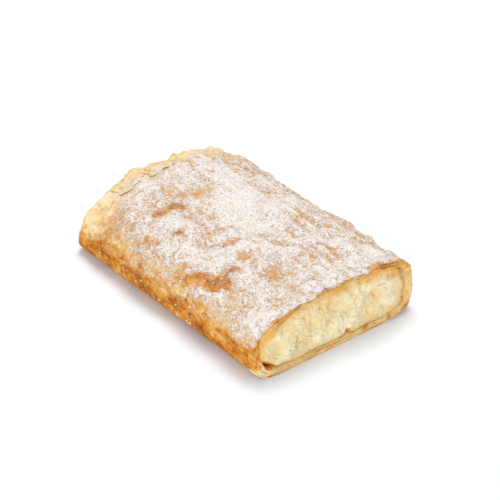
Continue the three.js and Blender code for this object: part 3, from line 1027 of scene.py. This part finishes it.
# side is the cut that the leaves are at, +1 for the near one. The ranges that they are drawn from are angles
# round the roll in degrees, half spans in radians, depths from skin to lining as shares, and reaches in
# millimetres. The last kind are broken ones at the lower front corner.
LeafKind = namedtuple("LeafKind", "side count angles half_spans depths reaches")
LEAF_KINDS = [
    LeafKind(1, 46, (172, 372), (0.08, 0.35), (0.10, 0.95), (0.2, 0.8)),
    LeafKind(-1, 46, (0, 360), (0.08, 0.35), (0.10, 0.95), (0.5, 1.8)),
    LeafKind(1, 26, (192, 246), (0.03, 0.09), (0.02, 0.95), (0.5, 1.3)),
]
draw = np.random.default_rng(LEAF_SEED)


def lay_cut_leaf(shape, side, middle_angle, half_angle, depth, reach):
    """Adds one ragged leaf to a mesh, at a depth in the crust from 0 at the skin to 1 at the lining."""
    columns = max(6, int(half_angle * WIDTH / LEAF_STEP))
    grid = bmesh.ops.create_grid(shape, x_segments=columns, y_segments=LEAF_ROWS, size=1.0)
    cut = NEAR_CUT if side > 0 else FAR_CUT
    pattern = depth * 31.0 + middle_angle
    for v in grid["verts"]:
        round_share, out_share = v.co.x, 0.5 * (v.co.y + 1)
        angle = middle_angle + half_angle * round_share
        lining, skin = crust_at(cut - side * LEAF_LEVEL, angle)
        wander = 0.12 * noise.noise((angle * 3.0, pattern, 0.3))
        place = skin.lerp(lining, min(max(depth + wander, 0.04), 0.97))
        level = rim_level(place, side)
        if level is None or abs(cut - level) > DEEPEST_TEAR:
            level = cut - side * TORN_LEVEL
        ragged = reach * (0.55 + 0.9 * noise.noise((angle * 7.0, pattern, 1.7)))
        ragged -= reach * 1.2 * abs(round_share) ** 4
        place.x = level + side * (ragged * out_share - LEAF_ROOT * (1 - out_share))
        curl = 0.5 * out_share ** 2 * noise.noise((angle * 4.0, pattern, 6.1))
        v.co = (place + curl * towards_skin(angle)) * MM


leaf_shape = bmesh.new()
for kind in LEAF_KINDS:
    for _ in range(kind.count):
        lay_cut_leaf(
            leaf_shape, kind.side,
            middle_angle=math.radians(draw.uniform(*kind.angles)),
            half_angle=draw.uniform(*kind.half_spans),
            depth=draw.uniform(*kind.depths),
            reach=draw.uniform(*kind.reaches),
        )
bmesh.ops.recalc_face_normals(leaf_shape, faces=leaf_shape.faces)
bmesh.ops.solidify(leaf_shape, geom=leaf_shape.faces[:], thickness=LEAF_THICKNESS * MM)
bmesh.ops.recalc_face_normals(leaf_shape, faces=leaf_shape.faces)
leaves = make_object("cut_leaves", leaf_shape)
print("leaves at the cuts:", len(leaves.data.polygons), "faces")

# %% [markdown]
# ## Flakes on the skin
#
# The outermost leaf has broken near the far end, and scraps of it lie there and along the foot. At the near
# cut's back corner its torn edge stands up as a lip. A flake is a grid with a torn outline, laid on the
# skin and curled away from it at the edge. The lip is a grid too, which ends at the tear that the sugar map
# knows.

# %% Flakes
FLAKE_SEED = 11
FLAKE_STEP = 0.8
FLAKE_THICKNESS = 0.3
FLAKE_MARGIN = 0.4  # flakes end this far from a cut
HELD_AT_FAR_CUT = 2.5  # the skin below a flake is looked up no nearer than this to the far cut
HELD_AT_NEAR_CUT = 1.5
SKIN_RADIUS = 0.42 * WIDTH  # turns a length round the roll into an angle
# place along the roll, angle round it in degrees, half sizes along it and round it, and lift of the edge
Flake = namedtuple("Flake", "x angle along around lift")
LARGE_FLAKES = [
    Flake(-53.0, 140, 5.0, 6.0, 0.3),
    Flake(-54.0, 117, 5.5, 9.0, 0.7),
    Flake(-54.5, 90, 5.0, 8.0, 0.7),
    Flake(-54.0, 66, 5.5, 8.0, 0.7),
]
# small ones along the foot, more of them at the front, and the ranges they are drawn from
SMALL_FLAKES = {
    "count": 46, "x": (-54, 56), "front_angles": (176, 204), "back_angles": (-26, 6), "shares": (0.7, 0.3),
    "sizes": (1.2, 2.6), "stretch": 1.8, "lifts": (0.05, 0.20),
}
LIP = {
    "y": 24.5, "half_width": 9.5, "length": 6.0, "lift": 0.8, "rows": 14, "columns": 48,
    "from_cut": 0.6, "held_at": 3.0,
}
draw = np.random.default_rng(FLAKE_SEED)


def lay_flake(shape, x, angle, along, around, lift):
    """Adds one torn flake to a mesh, lying on the skin with its edge curled up."""
    rows = max(4, int(2 * along / FLAKE_STEP))
    columns = max(4, int(2 * around / FLAKE_STEP))
    grid = bmesh.ops.create_grid(shape, x_segments=rows, y_segments=columns, size=1.0)
    for v in grid["verts"]:
        u, w = v.co.x, v.co.y
        bearing = math.atan2(w, u)
        from_middle = max(abs(u), abs(w))
        round_edge = (2.2 * math.cos(bearing) + x, 2.2 * math.sin(bearing), angle * 5)
        outline = 0.80 + 0.35 * noise.noise(round_edge)
        away = from_middle * outline
        spot_x = x + along * away * math.cos(bearing)
        spot_angle = angle + around * away * math.sin(bearing) / SKIN_RADIUS
        spot_x = min(max(spot_x, FAR_CUT + FLAKE_MARGIN), NEAR_CUT - FLAKE_MARGIN)
        held_x = min(max(spot_x, FAR_CUT + HELD_AT_FAR_CUT), NEAR_CUT - HELD_AT_NEAR_CUT)
        skin, normal = skin_at(held_x, spot_angle)
        place = Vector((spot_x, skin.y, skin.z))
        crumpled = abs(noise.noise((spot_x / 4, spot_angle * 6, 2.9)))
        curl = lift * from_middle ** 3 * (0.35 + 0.9 * crumpled)
        v.co = (place + normal * (curl - 0.05)) * MM


def lay_lip(shape):
    """Adds the torn edge of the outer leaf at the near cut's back corner, which stands up a little."""
    grid = bmesh.ops.create_grid(shape, x_segments=LIP["rows"], y_segments=LIP["columns"], size=1.0)
    for v in grid["verts"]:
        u, w = 0.5 * (v.co.x + 1), v.co.y
        y = LIP["y"] + LIP["half_width"] * w
        x = min(torn_edge(y), NEAR_CUT - LIP["from_cut"]) - LIP["length"] * (1 - u)
        start = Vector((min(x, NEAR_CUT - LIP["held_at"]), y, OUTSIDE)) * MM
        skin, _, _, _ = pastry_solid.ray_cast(start, DOWN)
        swollen = math.sin(math.pi * u ** 2.5) * (1 - w ** 4)
        standing = LIP["lift"] * swollen * (1 + 0.5 * noise.noise((y / 4.0, x / 4.0, 5.5)))
        v.co = Vector((x * MM, y * MM, skin.z + standing * MM))


flake_shape = bmesh.new()
for flake in LARGE_FLAKES:
    lay_flake(flake_shape, flake.x, math.radians(flake.angle), flake.along, flake.around, flake.lift)
for _ in range(SMALL_FLAKES["count"]):
    angles = [draw.uniform(*SMALL_FLAKES["front_angles"]), draw.uniform(*SMALL_FLAKES["back_angles"])]
    angle = math.radians(draw.choice(angles, p=SMALL_FLAKES["shares"]))
    size = draw.uniform(*SMALL_FLAKES["sizes"])
    x = draw.uniform(*SMALL_FLAKES["x"])
    lift = draw.uniform(*SMALL_FLAKES["lifts"])
    lay_flake(flake_shape, x, angle, size * SMALL_FLAKES["stretch"], size, lift)
lay_lip(flake_shape)
bmesh.ops.recalc_face_normals(flake_shape, faces=flake_shape.faces)
bmesh.ops.solidify(flake_shape, geom=flake_shape.faces[:], thickness=FLAKE_THICKNESS * MM)
bmesh.ops.recalc_face_normals(flake_shape, faces=flake_shape.faces)
flakes = make_object("skin_flakes", flake_shape)
print("flakes:", len(flakes.data.polygons), "faces")

# %% Paint and finish the leaves and flakes
FLAKE_DUSTING = 1.2  # sugar lies thicker on flakes, and there is none on the edges at the cuts

paint(leaves, dusted=0.0, loose=True)
paint(flakes, dusted=FLAKE_DUSTING, loose=True)
for piece in (leaves, flakes):
    piece.data.materials.append(dough)
    maps = [name for name in ("sugar", "dust", "brown") if name in piece.data.attributes]
    print(piece.name, "painted with", maps)

# %% [markdown]
# ## Icing sugar
#
# Sifted sugar lies as grains and as little clumps that stick to each other. They are far too many to place
# by hand: points are drawn on the crust, more where the sugar map is high, and a small lump with few faces
# is copied to each, flattened and turned at random. Geometry Nodes could scatter them as well; arrays keep
# the draw in one place and the result in one mesh for each kind of grain. Real grains are finer, but these
# are the smallest that show.

# %% Draw points for the sugar
SUGAR_SEED = 23
SLANT = (1.0, 0.61, 0.37)  # a direction in which hardly any two points of a piece are level
draw = np.random.default_rng(SUGAR_SEED)


def sugared_surface(piece):
    """The points of a piece, the sugar cover at each, and its triangles in a fixed order."""
    mesh = piece.data
    mesh.calc_loop_triangles()
    corners = np.zeros(len(mesh.loop_triangles) * 3, np.int32)
    mesh.loop_triangles.foreach_get("vertices", corners)
    spots = np.zeros(len(mesh.vertices) * 3, np.float32)
    mesh.vertices.foreach_get("co", spots)
    cover = np.zeros(len(mesh.vertices), np.float32)
    mesh.attributes["sugar"].data.foreach_get("value", cover)
    spots = spots.reshape(-1, 3).astype(float)
    corners = corners.reshape(-1, 3)
    # solidify makes its faces in no fixed order, so triangles are sorted by a rank that their places give
    rank = sum(weight * spots[:, axis] for axis, weight in enumerate(SLANT))
    first = rank[corners].argmin(axis=1)[:, None]
    corners = np.take_along_axis(corners, (first + [0, 1, 2]) % 3, axis=1)
    return spots, cover, corners[np.lexsort(rank[corners].T)]


def sugar_points(pieces, count):
    """Draws points on some pieces, with the chance of a face given by its area and its sugar cover."""
    surfaces = [sugared_surface(piece) for piece in pieces]
    first_points = np.cumsum([0] + [len(spots) for spots, _, _ in surfaces])
    spots = np.concatenate([spots for spots, _, _ in surfaces])
    cover = np.concatenate([cover for _, cover, _ in surfaces])
    corners = np.concatenate([corners + start for (_, _, corners), start in zip(surfaces, first_points)])
    a, b, c = (spots[corners[:, i]] for i in range(3))
    square = np.cross(b - a, c - a)
    area = np.linalg.norm(square, axis=1)
    chance = area * cover[corners].mean(axis=1)
    picked = draw.choice(len(corners), size=count, p=chance / chance.sum())
    first, second = draw.random(count), draw.random(count)
    folded = first + second > 1
    first[folded], second[folded] = 1 - first[folded], 1 - second[folded]
    places = a[picked] + first[:, None] * (b - a)[picked] + second[:, None] * (c - a)[picked]
    normals = square[picked] / area[picked][:, None]
    return places, normals


print("sugar is drawn with seed", SUGAR_SEED)

# %% Scatter the sugar
# how many, the smallest and largest half width in millimetres, the height as a share of the width, and how
# finely each is divided
CLUMPS = {"count": 6600, "low": 0.16, "high": 0.42, "flat": 0.6, "columns": 5, "rows": 4}
GRAINS = {"count": 24000, "low": 0.08, "high": 0.17, "flat": 0.8, "columns": 4, "rows": 2}
RARE_LARGE = 2.5  # exponent of the draw of sizes: the higher, the rarer are large ones
NARROWED = 0.85  # a lump's shorter half width as a share of the longer
UNEVEN = 0.45  # its points are pushed in and out by up to this share
STANDS_OUT = 0.35  # its middle stands off the dough by this share of its half height


def sugar_piece(name, kind):
    """One mesh of many small sugar lumps that sit on the crust."""
    lump = bmesh.new()
    bmesh.ops.create_uvsphere(lump, u_segments=kind["columns"], v_segments=kind["rows"], radius=1.0)
    bmesh.ops.triangulate(lump, faces=lump.faces)
    corners = np.array([v.co[:] for v in lump.verts])
    sides = np.array([[v.index for v in f.verts] for f in lump.faces])
    lump.free()
    places, normals = sugar_points([crust, flakes], kind["count"])
    count = len(places)
    sizes = kind["low"] + (kind["high"] - kind["low"]) * draw.random(count) ** RARE_LARGE
    turns = draw.normal(size=(count, 3))
    sideways = np.cross(normals, turns)
    sideways /= np.linalg.norm(sideways, axis=1)[:, None]
    crossways = np.cross(normals, sideways)
    axes = np.stack([sideways, crossways * NARROWED, normals * kind["flat"]], axis=1)
    uneven = 1 + UNEVEN * draw.uniform(-1, 1, size=(count, len(corners), 1))
    spots = np.einsum("nki,nij->nkj", uneven * corners[None], axes) * (sizes * MM)[:, None, None]
    spots += (places + normals * (sizes * kind["flat"] * STANDS_OUT * MM)[:, None])[:, None, :]
    faces = sides[None] + (len(corners) * np.arange(count))[:, None, None]
    mesh = bpy.data.meshes.new(name)
    spots = np.clip(spots.reshape(-1, 3), np.array(cad_low), np.array(cad_high))
    mesh.from_pydata(spots.tolist(), [], faces.reshape(-1, 3).tolist())
    piece = bpy.data.objects.new(name, mesh)
    bpy.context.scene.collection.objects.link(piece)
    return piece


clumps = sugar_piece("sugar_clumps", CLUMPS)
grains = sugar_piece("sugar_grains", GRAINS)
print("sugar:", len(clumps.data.polygons), "and", len(grains.data.polygons), "faces")

# %% [markdown]
# ## Finish: sifted icing sugar
#
# Powdered sugar is a heap of clear crystals too small to see. Light enters and leaves it many times, so it
# is white and matt with soft shadows, a little warmed by the crust below.

# %% Icing sugar material
FAINT_PATCH = 3.0  # size of its slightly darker patches in millimetres


def icing_sugar(name):
    """Matt warm white that light passes a little way into."""
    material, tree, surface = new_material(name)
    where = add_node(tree, "TexCoord").outputs["Object"]
    shade = add_node(tree, "TexNoise", inputs={
        "Vector": where, "Scale": per_metre(FAINT_PATCH), "Detail": 2.0,
    }).outputs["Fac"]
    white = add_node(tree, "Mix", {"data_type": "RGBA"}, {
        "Factor": shade, "A": linear("#efe6de"), "B": linear("#f6f0ea"),
    }).outputs["Result"]
    powder = add_node(tree, "BsdfPrincipled", inputs={
        "Base Color": white,
        "Roughness": 0.9,
        "IOR": 1.5,
        "Specular IOR Level": 0.2,
        "Subsurface Weight": 0.25,
        "Subsurface Radius": (1.0, 0.9, 0.8),
        "Subsurface Scale": 0.4 * MM,
    })
    tree.links.new(powder.outputs["BSDF"], surface)
    return material


sugar_finish = icing_sugar("sifted_icing_sugar")
for piece in (clumps, grains):
    piece.data.materials.append(sugar_finish)
print("sugar material has", len(sugar_finish.node_tree.nodes), "nodes")

# %% [markdown]
# ## Joining the frame
#
# Every piece rides on the one body of the part and, where it stands for a solid, hides that solid.
# Nothing may stand outside the solids' box, so each mesh is trimmed to it.

# %% Ride and sizes
for piece in (crust, filling, leaves, flakes):
    for v in piece.data.vertices:
        v.co = [min(max(c, low), high) for c, low, high in zip(v.co, cad_low, cad_high)]

for piece, slot in (
    (crust, "crust"), (leaves, "crust"), (flakes, "crust"),
    (filling, "curd"), (clumps, "icing_sugar"), (grains, "icing_sugar"),
):
    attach(piece, "root")
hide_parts("pastry")
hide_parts("filling")
